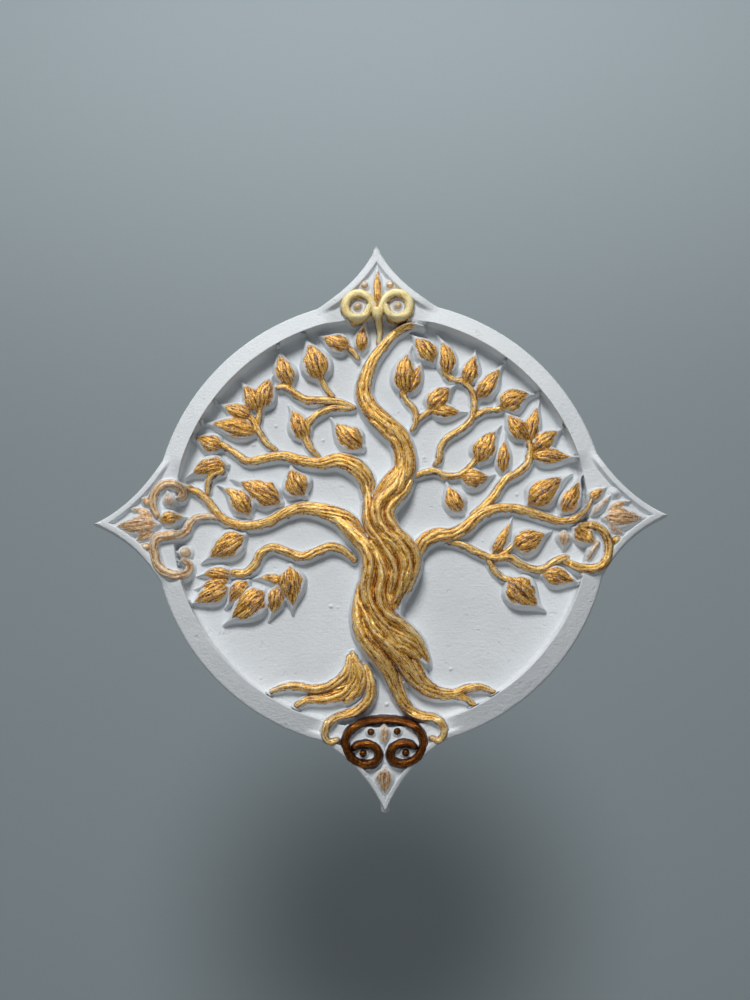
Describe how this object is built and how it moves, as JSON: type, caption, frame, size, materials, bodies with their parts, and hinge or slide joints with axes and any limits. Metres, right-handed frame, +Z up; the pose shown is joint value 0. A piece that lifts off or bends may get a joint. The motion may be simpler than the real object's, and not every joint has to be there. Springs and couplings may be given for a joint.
{
  "type": "tree of life wall plaque",
  "caption": "Round wall plaque with four ogee points, a raised rim and a gilded relief of a twisted tree with roots, leaves and scrolls; hangs flat on a wall.",
  "frame": {"origin": "middle of the flat back, where it meets the wall", "axes": "+Z up as it hangs, +X to the viewer's right, +Y out of the back into the wall; the relief faces -Y"},
  "size_m": [0.1806, 0.015, 0.1806],
  "materials": {
    "white_plaster": "matte",
    "gold": "satin",
    "bright_gold": "satin",
    "pale_gold": "matte",
    "bronze_gold": "satin",
    "steel_wire": "satin"
  },
  "bodies": {
    "root": {"back_plate": "white_plaster", "bead_top_left": "pale_gold", "bead_top_right": "pale_gold", "branch_lower_left": "gold", "branch_middle_left": "gold", "branch_right": "gold", "branch_right_fork": "gold", "branch_right_low": "gold", "branch_right_small": "gold", "branch_upper_left": "gold", "bud_right": "gold", "eye_bottom_left": "bronze_gold", "eye_bottom_right": "bronze_gold", "eye_top_left": "pale_gold", "eye_top_right": "pale_gold", "hanging_wire": "steel_wire", "leader": "gold", "leaf_bottom": "pale_gold", "leaf_centre_right": "gold", "leaf_crown": "gold", "leaf_crown_right": "gold", "leaf_hook": "gold", "leaf_left_drop": "gold", "leaf_left_inner": "gold", "leaf_left_low": "gold", "leaf_point_left": "gold", "leaf_right_cup": "gold", "leaf_right_low": "gold", "leaf_right_outer": "gold", "leaf_right_wide": "gold", "leaves_left_corner": "gold", "leaves_left_pair": "gold", "palmette_left": "pale_gold", "palmette_right": "pale_gold", "rim_bottom_left": "white_plaster", "rim_bottom_right": "white_plaster", "rim_top_left": "white_plaster", "rim_top_right": "white_plaster", "root_left_curl": "gold", "root_left_outer": "gold", "root_left_spur": "gold", "root_right_curl": "gold", "root_right_outer": "gold", "scroll_bottom": "bronze_gold", "scroll_left_lower": "pale_gold", "scroll_left_upper": "pale_gold", "scroll_right": "gold", "scroll_top": "bright_gold", "spear_top": "gold", "sprig_centre": "gold", "sprig_crown_left": "gold", "sprig_curl_left": "gold", "sprig_drooping": "gold", "sprig_drop_right": "gold", "sprig_fork_left": "gold", "sprig_hook": "gold", "sprig_tall_right": "gold", "sprig_top_left": "gold", "trunk": "gold"}
  },
  "joints": []
}
